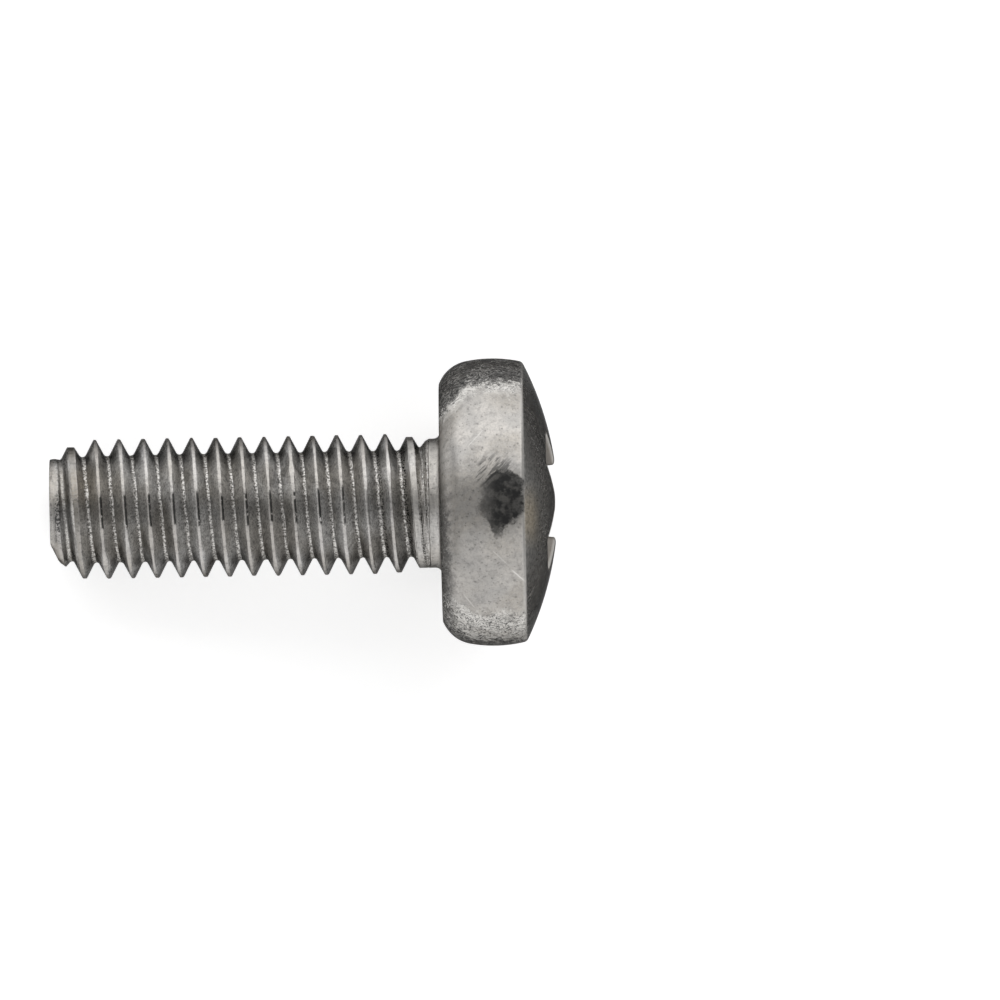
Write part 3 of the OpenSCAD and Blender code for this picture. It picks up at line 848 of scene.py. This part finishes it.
def steelMaterial():
    # Dull rolled and headed steel: its colour, its roughness, and a bump from the cheaper
    # layers, because that is worked out three times over.
    material, t = emptyMaterial("dullSteel")
    g = steelGround(t)
    markHead(t, g)
    markDome(t, g)
    markThread(t, g)
    flank = t.times(g.onThread, t.outside(t.greatest(g.crest, g.ribbon)))
    rough = t.plus(finish["roughness"] - 0.06, t.times(g.coarse, 0.12),
                   t.times(t.greatest(g.band, g.blot), 0.14), t.times(g.recessMark, 0.12),
                   t.times(flank, finish["shankRoughness"] - finish["roughness"]),
                   t.times(g.ribbon, 0.10), t.times(g.lipMark, -0.06))
    rate, *edge = finish["turningMarks"]
    rings = t.times(t.calc("SINE", t.times(g.radius, rate)), t.ramp(g.radius, *edge),
                    g.recessMark, 0.22)
    worn = t.greatest(t.ramp(g.upperPlace, *finish["upperWorn"]),
                      t.ramp(g.lowerPlace, *finish["lowerWorn"]))
    height = t.plus(t.times(g.fine, t.plus(0.45, t.times(g.onShank, 0.6))),
                    t.times(g.crumple, worn, g.onHead, 7.0), t.times(g.grit, g.onThread, 0.5),
                    t.times(g.stripes, g.runOut, 3.0), rings)
    bump = t.add("ShaderNodeBump", {"Strength": 1.0, "Distance": finish["bumpDepth"],
                                    "Height": height})
    shader = t.add("ShaderNodeBsdfPrincipled", {
        "Base Color": steelColour(t, g), "Metallic": 1.0, "Roughness": rough,
        "Specular Tint": finish["edgeTint"], "Normal": bump.outputs["Normal"]})
    t.add("ShaderNodeOutputMaterial", {"Surface": shader.outputs["BSDF"]})
    return material


screwMesh.materials.append(steelMaterial())
print("steel finished")

# studio: radiances, where 1 is white, lengths in m, and angles from straight above the axis
studio = {
    "keyRadiance": 1.24, "keyAngle": 60, "keyTall": 0.40, "keyWide": 0.75,
    "fillRadiance": 0.66, "fillAngle": 58, "fillTall": 0.42, "fillWide": 0.75,
    "worldRadiance": 0.47, "lampDistance": 0.30,
    "floorColour": 0.80, "floorGlow": 0.48, "floorHalf": 1.2,
    "floorAway": 0.77,                  # what the plain floor gives back, clear of the screw
    "floorNear": (0.0045, 0.006),       # how far round the screw the floor takes its shadow
}


def paleFloor():
    # A flat square just under the screw, with its colour and, for what sees it, a little glow.
    # Away from the screw, at a distance of sqrt(max(|x - middle| - half length, 0)^2 + y^2), it
    # gives back the same light without being lit, which saves time.
    half, low = studio["floorHalf"], cadBox[0][2]
    mesh = bpy.data.meshes.new("floor")
    mesh.from_pydata([(-half, -half, low), (half, -half, low), (half, half, low), (-half, half, low)],
                     [], [(0, 1, 2, 3)])
    floor = bpy.data.objects.new("floor", mesh)
    bpy.context.scene.collection.objects.link(floor)
    material, t = emptyMaterial("palePaper")
    path = t.add("ShaderNodeLightPath").outputs
    seen = t.greatest(path["Is Camera Ray"], t.greatest(path["Is Glossy Ray"],
                                                        path["Is Transmission Ray"]))
    middle, halfLength = (cadBox[0][0] + cadBox[1][0]) / 2, (cadBox[1][0] - cadBox[0][0]) / 2
    place = t.add("ShaderNodeTexCoord").outputs["Object"]
    x, y, _ = t.add("ShaderNodeSeparateXYZ", {"Vector": place}).outputs
    beyond = t.greatest(t.minus(t.far(t.minus(x, middle)), halfLength), 0.0)
    clear = t.ramp(t.apart(beyond, y), *studio["floorNear"])
    matte = t.add("ShaderNodeBsdfDiffuse", {"Color": (studio["floorColour"],) * 3 + (1,)})
    plain = t.add("ShaderNodeEmission", {"Strength": studio["floorAway"]})
    either = t.add("ShaderNodeMixShader", {0: clear, 1: matte.outputs[0], 2: plain.outputs[0]})
    glow = t.add("ShaderNodeEmission", {"Strength": t.times(seen, studio["floorGlow"])})
    both = t.add("ShaderNodeAddShader", {0: either.outputs[0], 1: glow.outputs[0]})
    t.add("ShaderNodeOutputMaterial", {"Surface": both.outputs[0]})
    mesh.materials.append(material)


def softBox(name, angle, wide, tall, radiance):
    # a flat lamp that faces the screw from one side; its power gives the wanted radiance
    away = topDir * cos(radians(angle)) + acrossDir * sin(radians(angle))
    data = bpy.data.lights.new(name, "AREA")
    data.shape = "RECTANGLE"
    data.size, data.size_y = wide, tall
    data.energy = radiance * pi * wide * tall
    lamp = bpy.data.objects.new(name, data)
    lamp.matrix_world = Matrix((axisDir, away.cross(axisDir), away)).transposed().to_4x4()
    lamp.location = away * studio["lampDistance"]
    bpy.context.scene.collection.objects.link(lamp)


paleFloor()
for name, side in (("key", 1), ("fill", -1)):
    softBox(name + "Box", side * studio[name + "Angle"], studio[name + "Wide"],
            studio[name + "Tall"], studio[name + "Radiance"])
surround = bpy.data.worlds.new("surround")
bpy.context.scene.world = surround
surround.use_nodes = True
background = surround.node_tree.nodes["Background"].inputs
background["Color"].default_value = (1, 1, 1, 1)
background["Strength"].default_value = studio["worldRadiance"]
print("studio lit")

# camera: square to the axis, from above, far off with a long lens; pixels are of a picture
# 1000 wide and 1000 high
cameraSettings = {"lens": 900.0, "sensor": 36.0, "pixelsPerMm": 48.38, "roll": 1.06, "swing": 0.4,
                  "seatPixel": (440.9, 503.0), "pictureWidth": 1000, "clip": (0.01, 10)}


def placeCamera():
    # the picture's right is the axis turned by the roll, seen a little from the head's end; the
    # aim puts the bearing face's centre on its pixel
    roll, turn = radians(cameraSettings["roll"]), radians(cameraSettings["swing"])
    level = axisDir * cos(roll) - acrossDir * sin(roll)
    up = acrossDir * cos(roll) + axisDir * sin(roll)
    right = level * cos(turn) - topDir * sin(turn)
    back = right.cross(up)
    pixel, width = mm / cameraSettings["pixelsPerMm"], cameraSettings["pictureWidth"]
    seatX, seatY = cameraSettings["seatPixel"]
    aim = right * (width / 2 - seatX) * pixel - up * (width / 2 - seatY) * pixel
    data = bpy.data.cameras.new("camera")
    data.lens, data.sensor_width = cameraSettings["lens"], cameraSettings["sensor"]
    data.clip_start, data.clip_end = cameraSettings["clip"]
    camera = bpy.data.objects.new("camera", data)
    camera.matrix_world = Matrix((right, up, back)).transposed().to_4x4()
    camera.location = aim + back * width * pixel * data.lens / data.sensor_width
    bpy.context.scene.collection.objects.link(camera)
    bpy.context.scene.camera = camera


placeCamera()
bpy.context.scene.view_settings.view_transform = "Standard"
print("camera placed")
